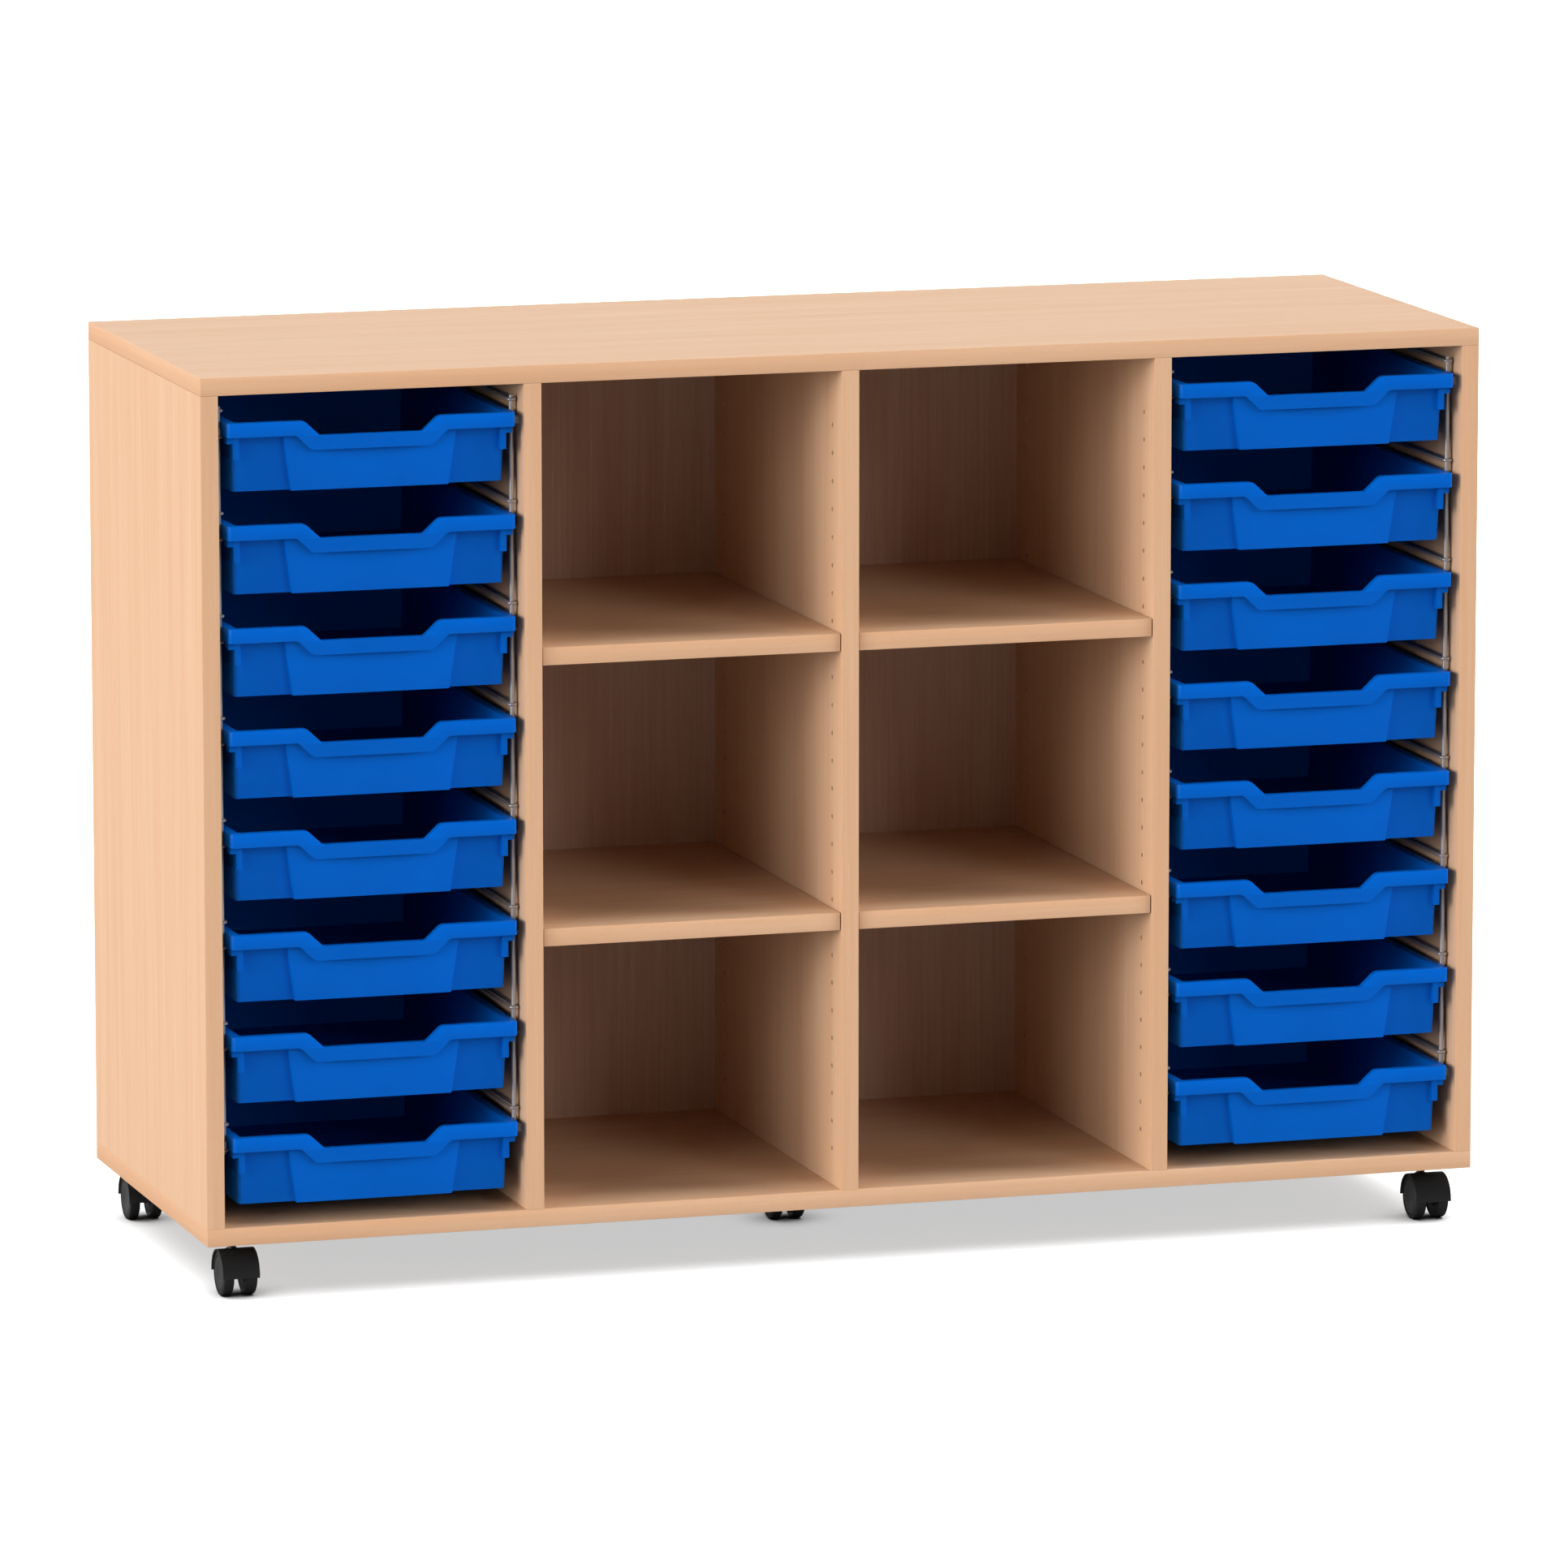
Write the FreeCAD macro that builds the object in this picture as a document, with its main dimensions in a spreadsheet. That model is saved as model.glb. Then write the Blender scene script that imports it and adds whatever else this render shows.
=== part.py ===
import FreeCAD, Part
import Sketcher
import os

# Mobile classroom storage unit: two columns of eight sliding trays either side of four adjustable
# shelves, on five twin-wheel castors.  Millimetres.  X runs along the front, Y from front to back,
# Z up.  The origin is on the floor, under the middle of the whole unit, trays included.

doc = FreeCAD.newDocument("tray_unit")

TRAYS_IN_COLUMN = 8

DRIVING = [
    ("board", "19", "thickness of every carcase board and shelf"),
    ("lipping", "2", "thickness of the edge bands on the boards' edges"),
    ("clear_height", "885.4", "from the bottom board's top to the top board's underside"),
    ("shelf_bay_width", "331.3", "clear width of each of the two shelf bays"),
    ("back_thick", "6.4", "thickness of the back panel"),
    ("back_inset", "20", "from the carcase's back edge to the back panel"),
    ("groove_depth", "6", "how far the back panel enters the boards"),
    ("tray_back_gap", "41.6", "from a tray's rim to the back panel"),
    ("shelf_setback", "2.5", "from the carcase's front to a shelf's front"),
    ("shelf_end_gap", "1.2", "play at each end of a shelf"),
    ("shelf_back_gap", "1", "play behind a shelf"),
    ("hole_pitch", "30.15", "spacing of the shelf-pin holes"),
    ("hole_margin", "33", "least height from a shelf-pin hole to the top board"),
    ("first_hole", "39.2", "from the bottom board to the lowest shelf-pin hole"),
    ("lower_shelf_hole", "8", "holes below the one that carries the lower shelf"),
    ("upper_shelf_hole", "18", "holes below the one that carries the upper shelf"),
    ("hole_row_setback", "35", "from a shelf's or carcase's edge to its row of holes"),
    ("pin_diameter", "5", "shelf pins"),
    ("pin_in_board", "8", "length of a shelf pin inside the board"),
    ("pin_out", "8", "length of a shelf pin under the shelf"),
    ("hole_relief", "0.5", "depth of a pin's hole beyond the pin"),
    ("tray_width", "312", "over the rim"),
    ("tray_depth", "427", "over the rim"),
    ("tray_height", "74", "rim top to underside"),
    ("tray_wall", "2", "wall of a tray"),
    ("rim_skirt", "15", "height of the skirt that hangs from the rim"),
    ("rim_overhang", "8", "rim's edge to the body's side and back walls"),
    ("rim_corner", "5", "corner radius of the rim"),
    ("rim_projection", "1", "how far the trays stand in front of the carcase"),
    ("rim_ledge", "8", "rim's front to the front wall at rim level"),
    ("body_corner", "4", "corner radius of the tray's body"),
    ("side_draft", "2", "narrowing of each side wall at the foot"),
    ("recess_depth", "17", "rim's front to the recessed cheeks of the front"),
    ("recess_knee", "21", "rim top to where the cheeks stop sloping"),
    ("panel_depth", "8.5", "rim's front to the raised panel of the front"),
    ("panel_top_width", "192", "raised panel at rim level"),
    ("panel_foot_width", "170", "raised panel at the foot"),
    ("front_draft", "2", "slope of the front below the rim"),
    ("grip_dip", "15.8", "depth of the finger dip"),
    ("grip_floor", "112", "flat width of the finger dip"),
    ("grip_run", "17", "width of each slope of the finger dip"),
    ("grip_lead", "9", "how much wider the skirt's dip is on each side"),
    ("grip_knee", "9", "radius of the dip's upper knees"),
    ("grip_foot", "5", "radius of the dip's lower knees"),
    ("gusset_width", "6.5", "thickness of the ribs behind the front skirt"),
    ("gusset_drop", "39.5", "rim top to the ribs' lower ends"),
    ("stop_reach", "6.5", "width of the stops beside the ribs"),
    ("stop_height", "6", "height of the stops"),
    ("stop_clearance", "0.4", "stop to the runner's front bend"),
    ("stop_drop", "1", "top of the lower loop to the stops"),
    ("tray_top_gap", "29.9", "top board's underside to the top tray's rim"),
    ("tray_foot_gap", "21.8", "bottom board to the lowest tray"),
    ("wire", "2.8", "diameter of the runner loops' wire"),
    ("post", "5.2", "diameter of the runner posts"),
    ("wire_wall_gap", "1", "runner loops to the board beside them"),
    ("rim_post_clearance", "0.6", "tray rim to a runner post"),
    ("rest_clearance", "0.25", "skirt to the runner loop that carries it"),
    ("loop_spacing", "27.5", "lower to upper loop of one tray"),
    ("post_setback", "28", "carcase front to the front post"),
    ("post_back_gap", "72", "rear post to the back panel"),
    ("post_end", "4.5", "post beyond the last loop"),
    ("clip_height", "8", "runner clips"),
    ("clip_width", "14", "runner clips, front to back"),
    ("clip_past_centre", "1", "how far a clip's jaws pass the post's centre"),
    ("clip_lift", "0.6", "lower loop to the clip above it"),
    ("peg", "5", "diameter of a clip's peg"),
    ("peg_length", "8", "length of a clip's peg"),
    ("dowel", "8", "diameter of the carcase dowels"),
    ("dowel_in_face", "12", "dowel inside the top or bottom board"),
    ("dowel_in_end", "18", "dowel inside the end of an upright"),
    ("dowel_inset", "110", "front or back edge to a dowel"),
    ("cam", "15", "diameter of the cam discs"),
    ("cam_depth", "12.5", "length of the cam discs"),
    ("cam_from_end", "34", "upright's end to the cam's centre"),
    ("cam_inset", "66", "front edge to a front cam"),
    ("rear_cam_inset", "90", "back edge to a rear cam"),
    ("cam_bolt", "6", "diameter of the cam bolts"),
    ("bolt_in_face", "11", "cam bolt inside the top or bottom board"),
    ("wheel", "48", "diameter of a castor wheel"),
    ("wheel_gap", "14", "between the two wheels of a castor"),
    ("wheel_width", "11.3", "width of one wheel"),
    ("wheel_disc", "42", "diameter of the flat outer face"),
    ("wheel_crown", "2.2", "width of the outer shoulder of the tread"),
    ("inner_shoulder", "2", "width and height of the inner shoulder"),
    ("wheel_skin", "2", "outer wall over the end of the axle"),
    ("axle", "5", "diameter of the axles"),
    ("running_clearance", "0.05", "radial play of the wheels and of the swivels"),
    ("end_clearance", "0.3", "end play of the wheels and the stems"),
    ("hood_width", "40", "castor hood along its axle"),
    ("hood_wall", "1.6", "wall of a hood"),
    ("hood_clearance", "0.4", "wheel to the inside of the hood"),
    ("hood_lip", "2", "how far the hood's front comes below the axle"),
    ("trail", "16", "axle in front of the stem"),
    ("castor_height", "60", "floor to the carcase's underside"),
    ("stem", "8.8", "diameter of the castor stems"),
    ("stem_in_board", "10", "length of a stem inside its socket"),
    ("stem_below_axle", "2", "lower end of a stem below the axle"),
    ("housing", "13", "diameter of a hood's stem housing"),
    ("housing_gap", "13", "top of the stem housing to the carcase"),
    ("housing_floor", "2", "wall of the housing under the stem"),
    ("boss", "10", "diameter of a hood's axle boss"),
    ("web", "5", "thickness of the web down the middle of a hood"),
    ("socket", "11", "outer diameter of a stem socket"),
    ("socket_length", "12", "stem socket inside the bottom board"),
    ("socket_flange", "18", "diameter of a socket's flange"),
    ("flange_thick", "1.2", "thickness of a socket's flange"),
    ("stem_side_inset", "39", "carcase's side to a corner stem"),
    ("stem_front_inset", "51", "carcase's front to a front stem"),
    ("stem_back_inset", "30", "carcase's back to a rear stem"),
]

WORKED_OUT = [
    ("tray_side_gap", "dims.wire_wall_gap + dims.wire + dims.post + dims.rim_post_clearance"),
    ("tray_bay_width", "dims.tray_width + 2 * tray_side_gap"),
    ("width", "2 * tray_bay_width + 2 * dims.shelf_bay_width + 5 * dims.board"),
    ("back_front", "dims.tray_depth - dims.rim_projection + dims.tray_back_gap"),
    ("depth", "back_front + dims.back_thick + dims.back_inset"),
    ("front", "-(depth - dims.rim_projection) / 2"),
    ("back", "front + depth"),
    ("back_face", "front + back_front"),
    ("floor_board", "dims.castor_height"),
    ("floor", "floor_board + dims.board"),
    ("ceiling", "floor + dims.clear_height"),
    ("top", "ceiling + dims.board"),
    ("right", "width / 2"),
    ("left", "-width / 2"),
    ("left_partition_x", "left + dims.board + tray_bay_width"),
    ("middle_partition_x", "-dims.board / 2"),
    ("right_partition_x", "right - 2 * dims.board - tray_bay_width"),
    ("right_side_x", "right - dims.board"),
    ("board_front", "front + dims.lipping"),
    ("tray_pitch", "(dims.clear_height - dims.tray_top_gap - dims.tray_foot_gap - dims.tray_height)"
     f" / {TRAYS_IN_COLUMN - 1}"),
    ("top_rim", "ceiling - dims.tray_top_gap"),
    ("post_offset", "dims.wire_wall_gap + dims.wire + dims.post / 2"),
    ("loop_radius", "(dims.post + dims.wire) / 2"),
    ("post_y", "front + dims.post_setback"),
    ("post_spacing", "back_front - dims.post_back_gap - dims.post_setback"),
    ("lower_loop_drop", "dims.rim_skirt + dims.rest_clearance + dims.wire / 2"),
    ("clip_drop", "dims.rim_skirt + dims.rest_clearance - dims.clip_lift - dims.clip_height / 2"),
    ("shelf_width", "dims.shelf_bay_width - 2 * dims.shelf_end_gap"),
    ("shelf_front", "front + dims.shelf_setback"),
    ("shelf_depth", "back_face - dims.shelf_back_gap - shelf_front"),
    ("front_row", "front + dims.hole_row_setback"),
    ("back_row", "shelf_front + shelf_depth - dims.hole_row_setback"),
    ("hole_base", "floor + dims.first_hole"),
    ("lower_shelf_z", "hole_base + dims.lower_shelf_hole * dims.hole_pitch + dims.pin_diameter / 2"),
    ("upper_shelf_z", "hole_base + dims.upper_shelf_hole * dims.hole_pitch + dims.pin_diameter / 2"),
    ("axle_z", "dims.wheel / 2"),
    ("hood_inner", "dims.wheel / 2 + dims.hood_clearance"),
    ("hood_outer", "hood_inner + dims.hood_wall"),
    ("wheel_inner_x", "dims.wheel_gap / 2"),
    ("wheel_outer_x", "wheel_inner_x + dims.wheel_width"),
    ("axle_length", "2 * (wheel_outer_x - dims.wheel_skin - dims.end_clearance)"),
    ("stem_foot", "axle_z - dims.stem_below_axle"),
    ("stem_x", "right - dims.stem_side_inset"),
    ("front_stem_y", "front + dims.stem_front_inset"),
    ("back_stem_y", "back - dims.stem_back_inset"),
    ("middle_stem_y", "(front_stem_y + back_stem_y) / 2"),
]


def fill_sheet(name, rows):
    """A spreadsheet with one named value to a row."""
    sheet = doc.addObject("Spreadsheet::Sheet", name)
    for number, row in enumerate(rows, start=1):
        sheet.set(f"A{number}", row[0])
        sheet.set(f"B{number}", row[1])
        sheet.setAlias(f"B{number}", row[0])
        if len(row) > 2:
            sheet.set(f"C{number}", row[2])
    return sheet


dims = fill_sheet("dims", DRIVING)
fits = fill_sheet("fits", [(alias, "=" + formula) for alias, formula in WORKED_OUT])
doc.recompute()

ORIGIN = -1           # the sketcher's own name for the origin point
START = 1             # a line's first point
AXIS_DIRECTION = {"X": FreeCAD.Vector(1, 0, 0), "Y": FreeCAD.Vector(0, 1, 0), "Z": FreeCAD.Vector(0, 0, 1)}
PAST = "2"            # how far a cutting shape runs past the solid that it cuts
SAME = 0.01           # two places nearer than this are one
nodes = []


def size(expression):
    """The value of an expression over the sheets, in millimetres."""
    return float(dims.evalExpression(expression))


def bind(item, **expressions):
    for name, expression in expressions.items():
        item.setExpression(name, expression)
    return item


def place(item, x="0", y="0", z="0"):
    item.setExpression("Placement.Base.x", x)
    item.setExpression("Placement.Base.y", y)
    item.setExpression("Placement.Base.z", z)
    return item


def box(name, x, y, z, length, width, height):
    block = doc.addObject("Part::Box", name)
    bind(block, Length=length, Width=width, Height=height)
    return place(block, x, y, z)


def cylinder(name, axis, diameter, length, x="0", y="0", z="0"):
    """A round bar that starts at x, y, z and runs along the axis."""
    bar = doc.addObject("Part::Cylinder", name)
    turn = FreeCAD.Rotation(AXIS_DIRECTION["Z"], AXIS_DIRECTION[axis])
    bar.Placement = FreeCAD.Placement(FreeCAD.Vector(), turn)
    bind(bar, Radius=f"({diameter}) / 2", Height=length)
    return place(bar, x, y, z)


def group(name, members):
    bundle = doc.addObject("Part::Compound", name)
    bundle.Links = members
    return bundle


def copy_of(name, master, x="0", y="0", z="0"):
    return place(group(name, [master]), x, y, z)


def join(name, members):
    fused = doc.addObject("Part::MultiFuse", name)
    fused.Shapes = members
    fused.Refine = True
    return fused


def cut(name, base, tool):
    result = doc.addObject("Part::Cut", name)
    result.Base = base
    result.Tool = tool
    result.Refine = True
    return result


def node(item, label):
    """Name a finished sub-part; its file takes the same name."""
    item.Label = label
    nodes.append(item)
    return item


def body(name):
    return doc.addObject("PartDesign::Body", name)


def origin_plane(owner, role):
    return next(feature for feature in owner.Origin.OriginFeatures if feature.Role == role)


def outline(owner, name, plane, corners, lift="0"):
    """A closed sketch; every corner is a pair of expressions measured from the plane's origin."""
    sketch = owner.newObject("Sketcher::SketchObject", name)
    sketch.AttachmentSupport = (origin_plane(owner, plane), [""])
    sketch.MapMode = "FlatFace"
    sketch.setExpression("AttachmentOffset.Base.z", lift)
    points = [FreeCAD.Vector(size(across), size(up), 0) for across, up in corners]
    for number, point in enumerate(points):
        following = points[(number + 1) % len(points)]
        sketch.addGeometry(Part.LineSegment(point, following), False)
    for number, (across, up) in enumerate(corners):
        previous = (number - 1) % len(corners)
        sketch.addConstraint(Sketcher.Constraint("Coincident", previous, 2, number, START))
        for direction, expression in (("DistanceX", across), ("DistanceY", up)):
            constraint = Sketcher.Constraint(direction, ORIGIN, 1, number, START, size(expression))
            index = sketch.addConstraint(constraint)
            sketch.setExpression(f"Constraints[{index}]", expression)
    return sketch


def circle(owner, name, plane, diameter, across="0", up="0", lift="0"):
    sketch = owner.newObject("Sketcher::SketchObject", name)
    sketch.AttachmentSupport = (origin_plane(owner, plane), [""])
    sketch.MapMode = "FlatFace"
    sketch.setExpression("AttachmentOffset.Base.z", lift)
    centre = FreeCAD.Vector(size(across), size(up), 0)
    sketch.addGeometry(Part.Circle(centre, AXIS_DIRECTION["Z"], size(diameter) / 2), False)
    index = sketch.addConstraint(Sketcher.Constraint("Diameter", 0, size(diameter)))
    sketch.setExpression(f"Constraints[{index}]", diameter)
    for direction, expression in (("DistanceX", across), ("DistanceY", up)):
        index = sketch.addConstraint(Sketcher.Constraint(direction, ORIGIN, 1, 0, 3, size(expression)))
        sketch.setExpression(f"Constraints[{index}]", expression)
    return sketch


def pad(owner, sketch, length, centred=False, backwards=False, pocket=False):
    kind = "PartDesign::Pocket" if pocket else "PartDesign::Pad"
    feature = owner.newObject(kind, sketch.Name + ("_pocket" if pocket else "_pad"))
    feature.Profile = sketch
    feature.setExpression("Length", length)
    feature.Midplane = centred
    feature.Reversed = backwards
    return feature


def loft(owner, sketches, name):
    feature = owner.newObject("PartDesign::AdditiveLoft", name)
    feature.Profile = sketches[0]
    feature.Sections = sketches[1:]
    feature.Ruled = True
    return feature


def round_edges(owner, name, radius, wanted):
    """Fillet the edges of the body's last feature whose two ends pass the test."""
    doc.recompute()
    last = owner.Tip
    chosen = []
    for number, edge in enumerate(last.Shape.Edges, start=1):
        if wanted(edge):
            chosen.append(f"Edge{number}")
    fillet = owner.newObject("PartDesign::Fillet", name)
    fillet.Base = (last, chosen)
    fillet.setExpression("Radius", radius)
    return fillet


def upright(edge):
    """True of an edge that climbs, such as the corner between two walls."""
    ends = [vertex.Point for vertex in edge.Vertexes]
    return len(ends) == 2 and abs(ends[0].z - ends[1].z) > 0.5 * edge.Length


# ---------------------------------------------------------------- carcase fasteners

UPRIGHTS = [
    ("left_side_panel", "fits.left", "right"),
    ("left_partition", "fits.left_partition_x", "left"),
    ("middle_partition", "fits.middle_partition_x", "right"),
    ("right_partition", "fits.right_partition_x", "right"),
    ("right_side_panel", "fits.right_side_x", "left"),
]


def carcase_fasteners():
    """Dowels, cam bolts and cam discs at both ends of every upright."""
    dowels = []
    bolts = []
    discs = []
    for name, x, cam_face in UPRIGHTS:
        middle = f"{x} + dims.board / 2"
        cam_x = x if cam_face == "left" else f"{x} + dims.board - dims.cam_depth"
        for depth, dowel_y, cam_y in (
            ("front", "fits.front + dims.dowel_inset", "fits.front + dims.cam_inset"),
            ("rear", "fits.back - dims.dowel_inset", "fits.back - dims.rear_cam_inset"),
        ):
            tag = f"{name}_{depth}"
            dowel_length = "dims.dowel_in_face + dims.dowel_in_end"
            bolt_length = "dims.bolt_in_face + dims.cam_from_end - dims.cam / 2"
            dowels.append(cylinder(f"low_dowel_{tag}", "Z", "dims.dowel", dowel_length,
                                   middle, dowel_y, "fits.floor - dims.dowel_in_face"))
            dowels.append(cylinder(f"high_dowel_{tag}", "Z", "dims.dowel", dowel_length,
                                   middle, dowel_y, "fits.ceiling - dims.dowel_in_end"))
            bolts.append(cylinder(f"low_bolt_{tag}", "Z", "dims.cam_bolt", bolt_length,
                                  middle, cam_y, "fits.floor - dims.bolt_in_face"))
            bolts.append(cylinder(f"high_bolt_{tag}", "Z", "dims.cam_bolt", bolt_length,
                                  middle, cam_y, "fits.ceiling - dims.cam_from_end + dims.cam / 2"))
            discs.append(cylinder(f"low_cam_{tag}", "X", "dims.cam", "dims.cam_depth",
                                  cam_x, cam_y, "fits.floor + dims.cam_from_end"))
            discs.append(cylinder(f"high_cam_{tag}", "X", "dims.cam", "dims.cam_depth",
                                  cam_x, cam_y, "fits.ceiling - dims.cam_from_end"))
    return (node(group("dowels", dowels), "carcase_dowels"),
            node(group("bolts", bolts), "cam_bolts"),
            node(group("discs", discs), "cam_discs"))


# ---------------------------------------------------------------- shelves and their pins

SHELF_BAYS = [
    ("left", "fits.left_partition_x + dims.board", "fits.middle_partition_x"),
    ("right", "fits.middle_partition_x + dims.board", "fits.right_partition_x"),
]
SHELF_LEVELS = ["lower", "upper"]


def shelf_pins():
    """Four pins under each shelf, half in the board beside it."""
    pins = []
    length = "dims.pin_in_board + dims.pin_out"
    for bay, left_face, right_face in SHELF_BAYS:
        for level in SHELF_LEVELS:
            z = f"fits.{level}_shelf_z - dims.pin_diameter / 2"
            for row in ("front_row", "back_row"):
                tag = f"{bay}_{level}_{row}"
                pins.append(cylinder(f"left_pin_{tag}", "X", "dims.pin_diameter", length,
                                     f"{left_face} - dims.pin_in_board", f"fits.{row}", z))
                pins.append(cylinder(f"right_pin_{tag}", "X", "dims.pin_diameter", length,
                                     f"{right_face} - dims.pin_out", f"fits.{row}", z))
    return node(group("pins", pins), "shelf_pins")


def pin_holes(name, face, side):
    """The two rows of holes in one face of an upright; side is where the shelf is."""
    depth = "dims.pin_in_board + dims.hole_relief"
    x = face if side == "left" else f"{face} - {depth}"
    rise = size("dims.clear_height - dims.first_hole - dims.hole_margin") / size("dims.hole_pitch")
    holes = []
    for row in ("front_row", "back_row"):
        for number in range(int(rise) + 1):
            z = f"fits.hole_base + {number} * dims.hole_pitch"
            holes.append(cylinder(f"{name}_{row}_{number}", "X", "dims.pin_diameter", depth,
                                  x, f"fits.{row}", z))
    return group(name, holes)


def shelves():
    made = []
    for bay, left_face, right_face in SHELF_BAYS:
        for level in SHELF_LEVELS:
            shelf = box(f"{bay}_{level}_board", f"{left_face} + dims.shelf_end_gap",
                        "fits.shelf_front + dims.lipping", f"fits.{level}_shelf_z",
                        "fits.shelf_width", "fits.shelf_depth - dims.lipping", "dims.board")
            made.append(node(shelf, f"{bay}_{level}_shelf"))
    return made


# ---------------------------------------------------------------- tray runners

RUNNERS = [
    ("left_outer_runner", "fits.left + dims.board", 1),
    ("left_inner_runner", "fits.left_partition_x", -1),
    ("right_inner_runner", "fits.right_partition_x + dims.board", 1),
    ("right_outer_runner", "fits.right_side_x", -1),
]
CLIP_LEVELS = [0, TRAYS_IN_COLUMN - 1]


def rim_height(level):
    """Height of the rim of a tray, counted from the top one."""
    return f"fits.top_rim - {level} * fits.tray_pitch"


def runner_loop():
    """One closed wire loop round both posts, centred on the front post."""
    parts = []
    for name, x in (("near", "-fits.loop_radius"), ("far", "fits.loop_radius")):
        parts.append(cylinder(f"{name}_wire", "Y", "dims.wire", "fits.post_spacing", x))
    for name, angle, y in (("front", 180, "0"), ("rear", 0, "fits.post_spacing")):
        bend = doc.addObject("Part::Torus", f"{name}_bend")
        bend.Angle3 = 180
        bend.Placement = FreeCAD.Placement(FreeCAD.Vector(), FreeCAD.Rotation(AXIS_DIRECTION["Z"], angle))
        bind(bend, Radius1="fits.loop_radius", Radius2="dims.wire / 2")
        parts.append(place(bend, "0", y, "0"))
    return join("runner_loop", parts)


def runner_frames():
    """Four welded wire frames, each with two posts and two loops to a tray."""
    loop = runner_loop()
    bottom = f"{rim_height(TRAYS_IN_COLUMN - 1)} - fits.lower_loop_drop - dims.post_end"
    height = (f"{TRAYS_IN_COLUMN - 1} * fits.tray_pitch + dims.loop_spacing + 2 * dims.post_end")
    members = [
        cylinder("front_post", "Z", "dims.post", height, "0", "0", bottom),
        cylinder("rear_post", "Z", "dims.post", height, "0", "fits.post_spacing", bottom),
    ]
    for level in range(TRAYS_IN_COLUMN):
        low = f"{rim_height(level)} - fits.lower_loop_drop"
        members.append(copy_of(f"lower_loop_{level}", loop, z=low))
        members.append(copy_of(f"upper_loop_{level}", loop, z=f"{low} + dims.loop_spacing"))
    master = group("runner_master", members)
    for label, wall, inward in RUNNERS:
        frame = copy_of(f"{label}_frame", master, f"{wall} + {inward} * fits.post_offset", "fits.post_y")
        node(frame, label)


def runner_clips():
    """Plastic clips that plug into the boards and grip the posts from behind."""
    reach = "fits.post_offset + dims.clip_past_centre"
    block = box("clip_block", "0", "-dims.clip_width / 2", "-dims.clip_height / 2",
                reach, "dims.clip_width", "dims.clip_height")
    shank = cylinder("clip_peg", "X", "dims.peg", "dims.peg_length", "-dims.peg_length")
    solid = join("clip_solid", [block, shank])
    grip = cylinder("clip_grip", "Z", "dims.post + 2 * dims.running_clearance", "2 * dims.clip_height",
                    "fits.post_offset", "0", "-dims.clip_height")
    right_hand = cut("clip_master", solid, grip)
    left_hand = doc.addObject("Part::Mirroring", "clip_mirrored")
    left_hand.Source = right_hand
    left_hand.Normal = AXIS_DIRECTION["X"]
    clips = []
    for label, wall, inward in RUNNERS:
        clip = right_hand if inward > 0 else left_hand
        for level in CLIP_LEVELS:
            z = f"{rim_height(level)} - fits.clip_drop"
            clips.append(copy_of(f"{label}_front_clip_{level}", clip, wall, "fits.post_y", z))
            clips.append(copy_of(f"{label}_rear_clip_{level}", clip, wall,
                                 "fits.post_y + fits.post_spacing", z))
    return node(group("clips", clips), "runner_clips")


# ---------------------------------------------------------------- castors

CASTORS = [
    ("front_left", "-fits.stem_x", "fits.front_stem_y"),
    ("front_right", "fits.stem_x", "fits.front_stem_y"),
    ("rear_left", "-fits.stem_x", "fits.back_stem_y"),
    ("rear_right", "fits.stem_x", "fits.back_stem_y"),
    ("middle", "0", "fits.middle_stem_y"),
]


def castor_wheel():
    """The right-hand wheel, about an axle on X through the origin."""
    wheel = body("wheel_master")
    bore = "dims.axle / 2 + dims.running_clearance"
    rim = "dims.wheel / 2"
    profile = outline(wheel, "wheel_profile", "XY_Plane", [
        ("fits.wheel_inner_x", bore),
        ("fits.wheel_inner_x", f"{rim} - dims.inner_shoulder"),
        ("fits.wheel_inner_x + dims.inner_shoulder", rim),
        ("fits.wheel_outer_x - dims.wheel_crown", rim),
        ("fits.wheel_outer_x", "dims.wheel_disc / 2"),
        ("fits.wheel_outer_x", "0"),
        ("fits.wheel_outer_x - dims.wheel_skin", "0"),
        ("fits.wheel_outer_x - dims.wheel_skin", bore),
    ])
    turned = wheel.newObject("PartDesign::Revolution", "wheel_turned")
    turned.Profile = profile
    turned.ReferenceAxis = (profile, ["H_Axis"])
    turned.Angle = 360
    rim_radius = size("dims.wheel_disc / 2")
    round_edges(wheel, "wheel_rounds", "dims.inner_shoulder / 2",
                lambda edge: edge.Closed and edge.BoundBox.YMax > rim_radius + SAME
                and edge.BoundBox.XLength < SAME)
    return wheel


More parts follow.
